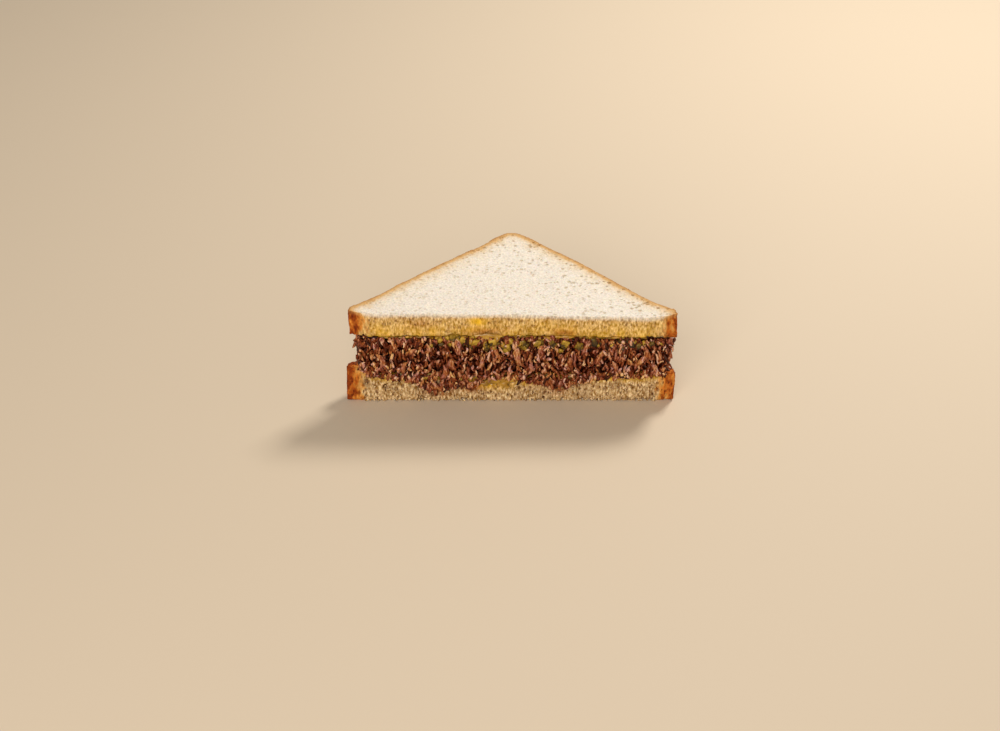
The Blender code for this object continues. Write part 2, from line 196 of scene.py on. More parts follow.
# %% [markdown]
# Materials are small networks of nodes. One function adds a node, sets it up, plugs in what feeds
# it, and returns the output to plug in next. COLOURS makes a Mix node mix colours: its inputs are
# share, first and second. Colours are written as the hex values that a colour picker shows, and
# turned into the linear values that light is computed with.

# %% Colours and shader nodes
COLOURS = {"data_type": "RGBA", "sockets": (0, 6, 7), "output": 2}
TINTED = {"blend_type": "MULTIPLY", **COLOURS}


def linear(hex_colour):
    """An sRGB colour such as "#f2e6cf" as linear red, green, blue and alpha."""
    channels = [int(hex_colour[i:i + 2], 16) / 255 for i in (1, 3, 5)]
    return (*[c / 12.92 if c <= 0.04045 else ((c + 0.055) / 1.055) ** 2.4 for c in channels], 1)


def per_mm(size):
    """The scale of a texture node whose pattern repeats about every size millimetres."""
    return 1 / (size * MM)


def feed(tree, node, inputs):
    """Plugs outputs into a node's sockets, and sets plain values on the sockets themselves."""
    for socket, value in inputs.items():
        if isinstance(value, bpy.types.NodeSocket):
            tree.links.new(value, node.inputs[socket])
        else:
            node.inputs[socket].default_value = value


def add_node(tree, kind, inputs=(), stops=(), sockets=None, output=0, **settings):
    """Adds a node and returns one output. Inputs are named, or listed in the order of its sockets."""
    node = tree.nodes.new("ShaderNode" + kind)
    for name, value in settings.items():
        setattr(node, name, value)
    named = isinstance(inputs, dict)
    feed(tree, node, inputs if named else dict(zip(sockets or range(len(inputs)), inputs)))
    for index, (place, hex_colour) in enumerate(stops):
        elements = node.color_ramp.elements
        element = elements[index] if index < 2 else elements.new(place)
        element.position = place
        element.color = linear(hex_colour)
    return node.outputs[output]


def new_material(name):
    material = bpy.data.materials.new(name)
    material.use_nodes = True
    return material, material.node_tree, material.node_tree.nodes["Principled BSDF"]


print("cream #f0d8ac in linear light:", [round(channel, 3) for channel in linear("#f0d8ac")])

# %% [markdown]
# ## Bread
# The crumb of soft white bread scatters light, so it looks matt and a little lit from inside. Its
# pores are one or two millimetres wide, and taller than wide on the cut face, as they rose upwards.
# The crust is dark outside and fades over a few millimetres to the pale crumb. Dressing and meat
# juice have soaked in along the filling. All of that is one material. It reads numbers painted on
# the slice: browning, dressing, juice, how deep a pore is for its painted shade, and what is cut face.
# MapRange inputs are listed in order: value, from low, from high, to low, to high.

# %% White bread: patterns and pores
bread, tree, shader = new_material("white_tin_bread")
place = add_node(tree, "TexCoord", output="Object")
upright = add_node(tree, "Mapping", {"Vector": place, "Scale": (1.0, 1.0, 0.42)})
baked, cut_face, dressed, juicy, pitted = [
    add_node(tree, "Attribute", attribute_name=name, output="Fac")
    for name in ("browning", "cut_face", "dressing", "juice", "pore")
]
patchy = add_node(tree, "TexNoise", {"Vector": upright, "Scale": per_mm(2.4), "Detail": 4})
grainy = add_node(tree, "TexNoise", {"Vector": upright, "Scale": per_mm(0.85), "Detail": 3})
holes = add_node(tree, "TexVoronoi", {"Vector": upright, "Scale": per_mm(1.25)})
# Fine pores on the cut exist only in the material, as painted shade and as bump.
in_hole = add_node(tree, "MapRange", [holes, 0.15, 0.4, 1, 0])
airy = add_node(tree, "MapRange", [patchy, 0.36, 0.5, 0, 1])
fine_pores = add_node(tree, "Math", [in_hole, airy], operation="MULTIPLY")
fine_pores = add_node(tree, "Math", [fine_pores, cut_face], operation="MULTIPLY")
pores = add_node(tree, "Math", [pitted, fine_pores], operation="MAXIMUM")
unfilled = add_node(tree, "MapRange", [dressed, 0, 0.6, 1, 0.45])
pores = add_node(tree, "Math", [pores, unfilled], operation="MULTIPLY")
print("patterns and pores of the bread:", len(tree.nodes), "nodes")

# %% [markdown]
# The crumb is cream on top and golden on the cut, the gold partly soaked-in dressing and partly
# painted warm shade, and what soaked into it lies over both. Browning turns crumb to crust through
# one ramp for the cut and one for the outside. A patchy noise makes it ragged, most of all on the
# cut, where the knife tore the crust.

# %% White bread: crumb, stains and crust
TOP_CRUMB = linear("#f2ece2")
# The cut's golden crumb is partly soaked-in dressing and partly painted warm shade.
CUT_CRUMB = [(0.33, "#a8762a"), (0.67, "#f0d8ac")]
DRESSING_STAIN, JUICE_STAIN = linear("#efbc2a"), linear("#a9571c")
CUT_CRUST = [(0.0, "#ecd2a0"), (0.25, "#dfae66"), (0.5, "#d68d3a"), (0.72, "#bd661c"), (0.95, "#8c3a06")]
OUTER_CRUST = [(0.0, "#ecd8ae"), (0.35, "#dbb27a"), (0.65, "#c39257"), (1.0, "#a26a38")]
cut_crumb = add_node(tree, "ValToRGB", [grainy], CUT_CRUMB)
crumb = TOP_CRUMB
for share, over in ((cut_face, cut_crumb), (dressed, DRESSING_STAIN), (juicy, JUICE_STAIN)):
    crumb = add_node(tree, "Mix", [share, crumb, over], **COLOURS)
ragged = add_node(tree, "MapRange", [patchy, 0.3, 0.7, -0.5, 0.5])
ragged = add_node(tree, "Math", [ragged, baked], operation="MULTIPLY")
less_outside = add_node(tree, "MapRange", [cut_face, 0, 1, 0.35, 1])
ragged = add_node(tree, "Math", [ragged, less_outside], operation="MULTIPLY")
browning = add_node(tree, "Math", [baked, ragged], operation="ADD")
outer = add_node(tree, "ValToRGB", [browning], OUTER_CRUST)
on_cut = add_node(tree, "ValToRGB", [browning], CUT_CRUST)
crust = add_node(tree, "Mix", [cut_face, outer, on_cut], **COLOURS)
is_brown = add_node(tree, "MapRange", [browning, 0.02, 0.3, 0, 1])
colour = add_node(tree, "Mix", [is_brown, crumb, crust], **COLOURS)
print("with crumb, stains and crust:", len(tree.nodes), "nodes")

# %% [markdown]
# A pore is painted darker than its rim, as painted shade in the pit. A fine grain runs through it
# all, and the same grain and pores make the bump. The shader is very rough, hardly glossy, and lets
# light a millimetre into the crumb.

# %% White bread: shade, grain and shader
# Pore colours are painted shade: faint on top, deep brown on the cut, brown in the crust.
TOP_PORE, CUT_PORE, CRUST_PORE = linear("#cfbe98"), linear("#7a4a1a"), linear("#9a5526")
shade = add_node(tree, "Mix", [cut_face, TOP_PORE, CUT_PORE], **COLOURS)
shade = add_node(tree, "Mix", [browning, shade, CRUST_PORE], **COLOURS)
in_pore = add_node(tree, "Mix", [1, colour, shade], **TINTED)
pore_share = add_node(tree, "Math", [pores, 0.85], operation="MULTIPLY")
colour = add_node(tree, "Mix", [pore_share, colour, in_pore], **COLOURS)
soft = add_node(tree, "MapRange", [grainy, 0.3, 0.7, 0.82, 1.12])
strong = add_node(tree, "MapRange", [grainy, 0.32, 0.68, 0.75, 1.25])
grain = add_node(tree, "Mix", [cut_face, soft, strong], **COLOURS)
colour = add_node(tree, "Mix", [1, colour, grain], **TINTED)
relief = add_node(tree, "Math", [grainy, 0.6], operation="MULTIPLY")
relief = add_node(tree, "Math", [relief, pores], operation="SUBTRACT")
bump = add_node(tree, "Bump", {"Height": relief, "Distance": 0.5 * MM, "Strength": 0.7})
feed(tree, shader, {
    "Base Color": colour, "Normal": bump, "Roughness": 0.85, "Specular IOR Level": 0.2,
    "Subsurface Weight": 0.12, "Subsurface Radius": (1.0, 0.6, 0.3), "Subsurface Scale": 1.0 * MM,
})
print(bread.name, "has", len(tree.nodes), "nodes")

# %% [markdown]
# A slice starts as a copy of its solid, so that it keeps its form. Its loose triangles are merged,
# and a voxel remesh gives it an even net. The cut face and the very top are divided once more, as
# they carry the finest relief. A Displace modifier then raises soft waves, as bread is never flat.

# %% A finely netted slice
BREAD_NET = 0.7 * MM
MERGE = 0.01 * MM
LOOKS_UP, LOOKS_FRONT = 0.5, -0.6


def pattern(name, size, noise_depth=2):
    """A cloudy texture for a Displace modifier, with features about size metres wide."""
    texture = bpy.data.textures.new(name, "CLOUDS")
    texture.noise_scale = size
    texture.noise_depth = noise_depth
    return texture


def netted_copy(node, name, net):
    """A copy of a solid, with an even net of small faces."""
    piece = new_object(name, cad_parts[node].data.copy())
    select_only(piece)
    edit_all()
    bpy.ops.mesh.remove_doubles(threshold=MERGE)
    end_edit()
    apply_modifier(piece, "REMESH", mode="VOXEL", voxel_size=net)
    return piece


def divide_shown_faces(piece, top_height):
    """Divides the faces of the cut, and those that look up above top_height."""
    select_only(piece)
    edit_all()
    bpy.ops.mesh.select_all(action="DESELECT")
    end_edit()
    for face in piece.data.polygons:
        on_top = face.normal.z > LOOKS_UP and face.center.z > top_height
        face.select = on_top or face.normal.y < LOOKS_FRONT
    bpy.ops.object.mode_set(mode="EDIT")
    bpy.ops.mesh.subdivide(number_cuts=1)
    end_edit()


soft_waves, fine_grain = pattern("soft_waves", 9 * MM), pattern("fine_grain", 1.1 * MM)
print("waves", soft_waves.noise_scale / MM, "mm wide, grain", fine_grain.noise_scale / MM, "mm wide")

# %% [markdown]
# Pores are pits of many sizes. Space is divided into cells, and only some cells hold a pore, each
# with a width of its own. A point near such a cell's middle is pushed in, and the same depth is
# painted on it, so that the material can paint shade into the pit.

# %% Pores
PORE_HEIGHT = 1.9
NARROWEST, WIDER_BY = 0.22, 0.38
DRAW = 83.1


def pore_depth(points, size, share):
    """0 on the surface, and up to 1 in the middle of a pore. Only a share of the cells hold one."""
    depth = np.zeros(len(points))
    for index, point in enumerate(points / [size, size, size * PORE_HEIGHT]):
        distances, middles = noise.voronoi(Vector(point))
        luck = noise.cell(middles[0] * DRAW)
        if luck < share:
            width = NARROWEST + WIDER_BY * luck / share
            depth[index] = max(0.0, 1 - (distances[0] / width) ** 2)
    return depth


def normals_of(piece):
    normals = np.empty(len(piece.data.vertices) * 3)
    piece.data.vertex_normals.foreach_get("vector", normals)
    return normals.reshape(-1, 3)


def push_in(piece, depths):
    """Moves every point inwards by its own depth."""
    move_points(piece, points_of(piece) - normals_of(piece) * depths[:, None])


print("pores are", PORE_HEIGHT, "times as high as wide")

# %% [markdown]
# Browning depends on how deep a point lies under the crust. The crust is the solid's outer wall,
# and the cut is the wall that looks to the front. Their faces are told by their normals.

# %% How far a point lies from the crust, or from the cut
SLIVER = 0.05 * MM**2
CUT_NORMAL, WALL_NORMAL = -0.7, 0.6


def is_cut(normal):
    return normal.y < CUT_NORMAL


def is_crust(normal):
    return abs(normal.z) < WALL_NORMAL and not is_cut(normal)


def distance_to(points, node, belongs):
    """How far each point lies from the node's faces whose normals belong, slivers aside."""
    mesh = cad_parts[node].data
    faces = [face for face in mesh.polygons if face.area > SLIVER]
    chosen = [face.vertices for face in faces if belongs(face.normal)]
    faces = BVHTree.FromPolygons([v.co for v in mesh.vertices], chosen)
    return np.array([faces.find_nearest(Vector(point))[3] for point in points])


def smooth_step(value, start, end):
    share = np.clip((value - start) / (end - start), 0, 1)
    return share * share * (3 - 2 * share)


def wander(points, size, seed):
    """A slow random number between about -1 and 1 for each point."""
    shift = Vector((seed * 7.3, seed * 3.1, seed * 1.7))
    return np.array([noise.noise(Vector(p) / size + shift) for p in points])


print("faces under", round(SLIVER / MM**2, 2), "square millimetres are left out")

# %% [markdown]
# Dressing and juice soak into the crumb where they touch it. On the cut face this shows as a
# yellow band along the filling, with patches where more was squeezed out. Each patch is a soft
# spot on the cut face: (x, z, half width, half height, strength), in millimetres.

# %% Stains on the cut face
UPPER_DRESSING = [
    (-15.0, 43.4, 6.6, 3.4, 0.85), (-17, 39.0, 9.0, 3.0, 0.8), (-47, 38.5, 7.0, 2.5, 0.6),
    (-33, 40.0, 8.0, 2.6, 0.5), (4, 40.5, 7.0, 3.2, 0.5), (14, 42.0, 6.0, 2.4, 0.45),
    (26, 39.5, 9.0, 2.6, 0.5), (-62, 37.5, 6.0, 1.8, 0.5), (44, 37.0, 9.0, 1.8, 0.4),
]
LOWER_DRESSING = [
    (-10, 9.6, 11.0, 3.0, 1.0), (-57, 12.0, 8.0, 1.6, 0.6), (52, 13.0, 8.0, 1.6, 0.65),
    (34, 11.6, 8.0, 1.8, 0.5), (8, 11.0, 8.0, 2.4, 0.7), (-44, 11.6, 8.0, 1.6, 0.5),
]
UPPER_JUICE = [(-12, 38.2, 7.0, 1.8, 0.6), (24, 37.4, 6.0, 1.8, 0.5), (-40, 42.5, 5.0, 2.2, 0.35)]
LOWER_JUICE = [
    (-33, 5.6, 5.5, 3.0, 0.9), (-18, 7.4, 4.5, 2.4, 0.85), (22, 6.6, 4.0, 3.0, 0.6),
    (22, 9.5, 12.0, 2.0, 0.6),
]
BAND, BAND_HEIGHT, SOAK_HEIGHT = 0.8, 4.0 * MM, 12 * MM


def stains(points, patches):
    total = np.zeros(len(points))
    for x, z, half_width, half_height, strength in patches:
        across = (points[:, 0] / MM - x) / half_width
        up = (points[:, 2] / MM - z) / half_height
        total = np.maximum(total, strength * np.exp(-(across**2 + up**2)))
    return total


def paint_stains(piece, points, on_cut, away_from_filling, dressing, juice, soaked):
    """Paints a band along the filling, patches, and over the whole crumb soak with painted light."""
    away = np.array([away_from_filling(in_slices(x), z) for x, y, z in points])
    streaks = wander(points * [1, 1, 0.4], 3 * MM, 2)
    band = BAND * (1 - smooth_step(away, 0, BAND_HEIGHT * (1 + 0.6 * wander(points, 9 * MM, 3))))
    soaked_crumb = soaked * np.clip(1.25 - away / SOAK_HEIGHT, 0.2, 1)
    yellow = np.maximum(np.maximum(band, soaked_crumb), stains(points, dressing)) * (1 + 0.5 * streaks)
    paint(piece, "dressing", np.clip(yellow, 0, 1) * on_cut)
    paint(piece, "juice", np.clip(stains(points, juice) * (1 + 0.6 * streaks), 0, 1) * on_cut)


print(len(UPPER_DRESSING + LOWER_DRESSING), "dressing stains,", len(UPPER_JUICE + LOWER_JUICE), "of juice")

# %% [markdown]
# Above and below, a thin brown rim fades into the crumb. On the walls, the crust reaches further
# in, and its inner edge is torn. The lower slice's corners are crust all the way up, so its upper
# face is browned there as the cut is. The right-hand corners are a little paler.

# %% Browning and the share of the cut face
CRUST_ON_CUT = 11 * MM
RIM_WIDTH, RIM_FADE, RIM_STRENGTH = 1.2 * MM, 4.8 * MM, 0.5
CRUST_SKIN = 0.3 * MM
CUT_SKIN, CUT_FADE = 0.3 * MM, 1.6 * MM
HARD_EDGE, SOFT_EDGE, EDGE_SHARE = 0.2 * MM, 2.4 * MM, 0.25
CORNER_FROM, CORNER_TO = 20 * MM, 9 * MM
PALER_RIGHT = 0.13


def cut_share(points, node):
    """1 on the cut face and 0 behind it, with a soft start under the upper slice's top edge."""
    share = 1 - smooth_step(distance_to(points, node, is_cut), CUT_SKIN, CUT_FADE)
    below_edge = np.array([upper_slice_top(in_slices(x)) - z for x, y, z in points])
    return share * (EDGE_SHARE + (1 - EDGE_SHARE) * smooth_step(below_edge, HARD_EDGE, SOFT_EDGE))


def browning_of(points, node, pressed, near_corner, rim_browning):
    """How brown each point is, from 0 in the crumb to 1 on the crust."""
    depth = distance_to(points, node, is_crust)
    wavering = wander(points, 4 * MM, 1)
    torn = wander(points * [1, 1, 0.3], 1.3 * MM, 4)
    rim = RIM_STRENGTH * np.exp(-depth / RIM_WIDTH)
    rim += rim_browning * np.exp(-depth / (RIM_FADE * (1 + 0.5 * wavering)))
    wall = 1 - smooth_step(depth, CRUST_SKIN, CRUST_ON_CUT * (1 + 0.25 * wavering + 0.35 * torn))
    wall *= 1 - PALER_RIGHT * smooth_step(points[:, 0], 0, upper_box[1].x)
    return pressed * np.maximum(rim, near_corner * wall) + (1 - pressed) * wall


print("the crust reaches", CRUST_ON_CUT / MM, "mm into the cut")

# %% [markdown]
# Now a slice is baked: netted, raised in soft waves, pitted with pores and roughened with a fine
# grain. Colour and relief are measured on the same even net, so that they stay together. Pores
# are shallow on top, deeper on the cut, nearly closed in the crust, and on top their painted shade
# is darker towards the back right.

# %% Both slices
WAVES, GRAIN = 0.5 * MM, 0.35 * MM
SHOWN_TOP = 8 * MM
FINE_PORE, FINE_SHARE, FINE_STRETCH = 1.6 * MM, 0.6, [0.85, 1.1, 1]
WIDE_PORE, WIDE_SHARE, WIDE_SHIFT = 3.4 * MM, 0.2, 50 * MM
OPEN_FROM, OPEN_TO = -30 * MM, 45 * MM


def bake_slice(node, name, away_from_filling, dressing, juice, soaked, rim_browning, corner_browning):
    """A slice with its relief and the numbers that colour it."""
    piece = netted_copy(node, name, BREAD_NET)
    divide_shown_faces(piece, upper_box[0].z + SHOWN_TOP)
    even = points_of(piece)
    on_cut = cut_share(even, node)
    pressed = smooth_step(np.abs(normals_of(piece)[:, 2]), 0.4, 0.95)
    from_middle = np.abs(even[:, 0])
    near_corner = smooth_step(from_middle, upper_box[1].x - CORNER_FROM, upper_box[1].x - CORNER_TO)
    near_corner *= corner_browning
    browning = browning_of(even, node, pressed, near_corner, rim_browning)
    displace(piece, soft_waves, WAVES)
    fine = pore_depth(even * FINE_STRETCH, FINE_PORE, FINE_SHARE)
    wide = pore_depth(even + WIDE_SHIFT, WIDE_PORE, WIDE_SHARE)
    crumb_share = 1 - 0.75 * smooth_step(browning, 0.3, 0.9)
    push_in(piece, (fine * (0.3 + 0.5 * on_cut) + wide * (0.12 + 0.43 * on_cut)) * crumb_share * MM)
    displace(piece, fine_grain, GRAIN)
    points = points_of(piece)
    points[:, 2] = np.maximum(points[:, 2], 0)
    move_points(piece, points)
    # The pores' painted shade is darker towards the back right on top, and lighter on a soaked cut.
    open_crumb = 0.55 + 0.55 * smooth_step(even[:, 0] + even[:, 1], OPEN_FROM, OPEN_TO)
    pores = fine * open_crumb * (1 - on_cut) + (fine + 0.35 * wide) * (1 - 0.6 * soaked) * on_cut
    paint(piece, "pore", np.clip(pores, 0, 1) * crumb_share)
    paint(piece, "browning", browning)
    paint(piece, "cut_face", np.maximum(on_cut, near_corner * pressed))
    paint_stains(piece, even, on_cut, away_from_filling, dressing, juice, soaked)
    finish_piece(piece, bread, "white_bread", node)


bake_slice(
    "bread_bottom", "lower_slice", lambda x, z: lower_slice_top(x) - z,
    LOWER_DRESSING, LOWER_JUICE, soaked=0.05, rim_browning=0.9, corner_browning=1,
)
# Upper cut: soaked-in dressing, and painted light, lighter than the lower cut in the beef's shade.
bake_slice(
    "bread_top", "upper_slice", lambda x, z: z - upper_slice_underside(x),
    UPPER_DRESSING, UPPER_JUICE, soaked=0.55, rim_browning=0.38, corner_browning=0,
)

# %% [markdown]
# ## Many small things
# Strands of meat, chopped gherkin and crumbs are the same few shapes again and again. Each shape is
# modelled once from a ball or a cube, and kept as an array of its corners. A piece is then made of
# all its copies at once: each one scaled, turned and moved, with a tint of its own. A torn strand
# is a slim ball, tapered, bent and twisted, in eleven different forms.

# %% Modelling a shape once
STRAND_TAPER, STRAND_BEND, STRAND_TWIST = 0.35, 1.5, 0.6
STRAND_ROUGHNESS = 0.10


def shape_arrays(obj):
    """Corners and triangles of a modelled shape, which is then removed."""
    obj.data.calc_loop_triangles()
    triangles = np.empty(len(obj.data.loop_triangles) * 3, dtype=int)
    obj.data.loop_triangles.foreach_get("vertices", triangles)
    shape = (points_of(obj), triangles.reshape(-1, 3))
    bpy.data.objects.remove(obj)
    return shape


def lump_shape(seed, roughness, subdivisions):
    """A ball of unit radius, its corners moved at random."""
    lump = start_from(bpy.ops.mesh.primitive_ico_sphere_add, subdivisions=subdivisions, radius=1)
    edit_all()
    bpy.ops.transform.vertex_random(offset=roughness, uniform=0.4, normal=0.5, seed=seed)
    end_edit()
    return shape_arrays(lump)


def strand_shape(seed):
    """A torn strand of meat, two units long."""
    strand = start_from(bpy.ops.mesh.primitive_uv_sphere_add, segments=7, ring_count=6, radius=1)
    edit_all()
    bpy.ops.transform.vertex_random(offset=STRAND_ROUGHNESS, uniform=1.0, seed=seed)
    end_edit()
    points = points_of(strand)
    along = points[:, 2]
    points[:, :2] *= (1 + STRAND_TAPER * along * math.sin(seed * 1.9))[:, None]
    points[:, 0] += STRAND_BEND * math.sin(seed * 2.4) * (along**2 - 0.4)
    points[:, 1] += STRAND_TWIST * math.cos(seed * 1.3) * np.sin(along * 2.5)
    move_points(strand, points)
    return shape_arrays(strand)


strand_shapes = [strand_shape(seed) for seed in range(1, 12)]
print(len(strand_shapes), "strand shapes of", len(strand_shapes[0][1]), "triangles")

# %% Copying it many times
def scatter(name, shapes, places, slope=0.0):
    """One mesh of many copies. A place is (centre, turn, half sizes, tint). The tint changes from a
    copy's middle to its upper end: on beef a painted highlight, on gherkin the skin."""
    corners, triangles, tints, count = [], [], [], 0
    for index, (centre, turn, half_sizes, tint) in enumerate(places):
        points, faces = shapes[index % len(shapes)]
        corners.append((points * half_sizes) @ np.array(turn).T + centre)
        triangles.append(faces + count)
        tints.append(tint + slope * points[:, 2])
        count += len(points)
    mesh = bpy.data.meshes.new(name)
    mesh.from_pydata(np.concatenate(corners), [], np.concatenate(triangles))
    piece = new_object(name, mesh)
    paint(piece, "tint", np.concatenate(tints))
    print(name, "is made of", len(places), "copies")
    return piece


def turned(around_x, around_y, around_z):
    """A turn about X, then Y, then Z, in degrees."""
    turn = Matrix.Identity(3)
    for angle, axis in ((around_x, "X"), (around_y, "Y"), (around_z, "Z")):
        turn = Matrix.Rotation(math.radians(angle), 3, axis) @ turn
    return turn


# %% [markdown]
# ## Minced beef
# The meat was braised and pulled apart into short moist fibres. Its colours run from nearly black,
# as painted shade in the gaps, through red-brown, to a pinkish tan, which the upper ends of the
# fibres get as a painted highlight. The tint of each strand picks its place on that range, a fine
# noise along the strand breaks it up, and a wide one casts mauve and orange over the heap. A thin
# coat stands for the juice.

# %% Braised beef
BEEF_RANGE = [(0.0, "#1c0200"), (0.3, "#5a210c"), (0.55, "#95522f"), (0.76, "#cd9a74"), (1.0, "#fbe2c8")]
BEEF_CAST = [(0.36, "#ead6f4"), (0.5, "#fff2e8"), (0.64, "#fff2bc")]
beef, tree, shader = new_material("braised_minced_beef")
place = add_node(tree, "TexCoord", output="Object")
fibres = add_node(tree, "Mapping", {"Vector": place, "Scale": (2.2, 2.2, 0.5)})
streaky = add_node(tree, "TexNoise", {"Vector": fibres, "Scale": per_mm(1.1), "Detail": 5})
tint = add_node(tree, "Attribute", attribute_name="tint", output="Fac")
unevenness = add_node(tree, "MapRange", [streaky, 0.3, 0.7, -0.28, 0.28])
tone = add_node(tree, "Math", [tint, unevenness], operation="ADD", use_clamp=True)
meat = add_node(tree, "ValToRGB", [tone], BEEF_RANGE)
patches = add_node(tree, "TexNoise", {"Vector": place, "Scale": per_mm(3.2), "Detail": 2})
cast = add_node(tree, "ValToRGB", [patches], BEEF_CAST)
colour = add_node(tree, "Mix", [1, meat, cast], **TINTED)
bump = add_node(tree, "Bump", {"Height": streaky, "Distance": 0.6 * MM, "Strength": 0.9})
feed(tree, shader, {
    "Base Color": colour, "Normal": bump, "Roughness": 0.38, "Specular Tint": linear("#ffb892"),
    "Subsurface Weight": 0.1, "Subsurface Radius": (1.0, 0.35, 0.2), "Subsurface Scale": 0.8 * MM,
    "Coat Weight": 0.2, "Coat Roughness": 0.15, "Coat Tint": linear("#ffcca2"),
})
print(beef.name, "has", len(tree.nodes), "nodes")

# %% [markdown]
# The heap has a core, so that nobody looks through the strands. It starts as a flat square, turned
# onto its corner and cut in half like the bread. It is then made thick and fitted between the two
# slices. A remesh and a Displace modifier make it lumpy.

# %% The heap's core
CORNER = 7.5 * MM
CORE_INSET, CORE_BACK, CORE_GAP = 2.4 * MM, 1.4 * MM, 0.3 * MM
CORE_CUTS, CORE_NET = 24, 1.0 * MM
LUMPS, LUMP_WIDTH, LUMP_LEVEL = 1.6 * MM, 3.0 * MM, 0.75
CORE_TINT = 0.12
upper_middle_x = (upper_box[0].x + upper_box[1].x) / 2
upper_half_cut = (upper_box[1].x - upper_box[0].x) / 2


def half_square(name, half_diagonal, front_y, cuts):
    """A flat triangle: a square on its corner, cut from corner to corner at front_y."""
    flat = start_from(bpy.ops.mesh.primitive_plane_add, size=half_diagonal * math.sqrt(2))
    flat.name = name
    edit_all()
    bpy.ops.mesh.subdivide(number_cuts=cuts)
    end_edit()
    turn = Matrix.Translation((upper_middle_x, cut_y, 0)) @ Matrix.Rotation(math.pi / 4, 4, "Z")
    flat.data.transform(turn)
    apex = cut_y + half_diagonal - CORNER
    for edge_y, outwards in ((front_y, -1), (apex, 1)):
        edit_all()
        bpy.ops.mesh.bisect(plane_co=(0, edge_y, 0), plane_no=(0, outwards, 0), clear_outer=True)
        end_edit()
    return flat


def thicken_between(flat, low, high):
    """Extrudes a flat mesh upwards, then lays its two faces on the heights low and high."""
    select_only(flat)
    edit_all()
    bpy.ops.mesh.extrude_region_move(TRANSFORM_OT_translate={"value": (0, 0, 1)})
    bpy.ops.mesh.select_all(action="SELECT")
    bpy.ops.mesh.normals_make_consistent(inside=False)
    end_edit()
    points = points_of(flat)
    points[:, 2] = [high(x, y) if z > 0.5 else low(x, y) for x, y, z in points]
    move_points(flat, points)


core = half_square("beef_core", upper_half_cut - CORE_INSET, cut_y + CORE_BACK, CORE_CUTS)
thicken_between(
    core,
    lambda x, y: lower_slice_top(x, y) + CORE_GAP,
    lambda x, y: upper_slice_underside(x, y) - CORE_GAP,
)
apply_modifier(core, "REMESH", mode="VOXEL", voxel_size=CORE_NET)
displace(core, pattern("meat_lumps", LUMP_WIDTH, noise_depth=3), LUMPS, LUMP_LEVEL)
# The core is painted nearly black, as painted shade in the gaps between the strands.
paint(core, "tint", CORE_TINT)
finish_piece(core, beef, "minced_beef")

# %% [markdown]
# On the cut face the strands lie in layers: large ones behind, painted dark as painted shade, then
# lighter and smaller ones, most of them upright as the knife dragged them. In three places the meat
# has slipped down over the lower slice, as in the solid, and in two more it just reaches over. Each
# is given as (x, depth, half width), in millimetres. Here and there a strand reaches up in front of
# the upper slice.

# %% Where the beef ends, above and below
SPILLS = [(-34, 7.4, 8.5), (-19, 4.6, 7.0), (21, 5.0, 12.0), (-52, 1.6, 10.0), (4, 0.8, 8.0)]
RAGGED = 2.2 * MM
LEFT_INSET, RIGHT_INSET = 4.4 * MM, 2.4 * MM
BEEF_LEFT = upper_middle_x - upper_half_cut + LEFT_INSET
BEEF_RIGHT = upper_middle_x + upper_half_cut - RIGHT_INSET


def spill_depth(x):
    """How far the beef hangs over the lower slice at x."""
    smooth = sum(depth * math.exp(-(((x / MM - at) / wide) ** 2)) for at, depth, wide in SPILLS)
    return (smooth + (0.5 + 0.25 * smooth) * noise.noise(Vector((x / RAGGED, 0, 0)))) * MM


def beef_bottom(x):
    return lower_slice_top(in_slices(x)) - spill_depth(x)


def beef_top(x):
    return upper_slice_underside(in_slices(x))


def overlap(x):
    """How far strands reach up in front of the upper slice at x."""
    return max(0, 0.4 + 2.0 * noise.noise(Vector((x / RAGGED, 7.0, 0)))) * MM


print("the beef reaches from x =", round(BEEF_LEFT / MM, 1), "to", round(BEEF_RIGHT / MM, 1), "mm")

# %% [markdown]
# Each layer is given as (how far behind the cut, space between columns, space between rows, tint).
# Low down a strand keeps away from the slice's ends, and where it would stand in a slice it moves
# out in front. Light and dark strands gather in clusters. The layers behind have lower tints, and
# strands in the upper slice's shade or further back are painted darker, as painted shade.

# %% Strands over the cut face
# The layers behind have lower tints, as painted shade.
LAYERS = [
    (1.2 * MM, 2.4 * MM, 4.0 * MM, 0.35), (-0.1 * MM, 2.0 * MM, 3.8 * MM, 0.55),
    (-1.1 * MM, 2.3 * MM, 4.6 * MM, 0.64),
]
STRAND_LENGTHS = (1.2, 1.7, 2.3, 3.1)
BEEF_FRONT = cut_y - 2.4 * MM
DARK_BEHIND, JUICE_SHADE = 3.4 * MM, 0.75
CLUSTER, CLUSTER_TINT = 3.6 * MM, 0.2
FOOT_INSET, FOOT_SHARE = 2.8 * MM, 0.5
CLEAR = 0.3 * MM
SHADE_FROM, SHADE = 0.75, 0.14
DARKEST, TINT_SPREAD = 0.02, 0.26
rng = random.Random(5)


def about(spread):
    """A number between -spread and spread, all of them equally likely."""
    return rng.uniform(-spread, spread)


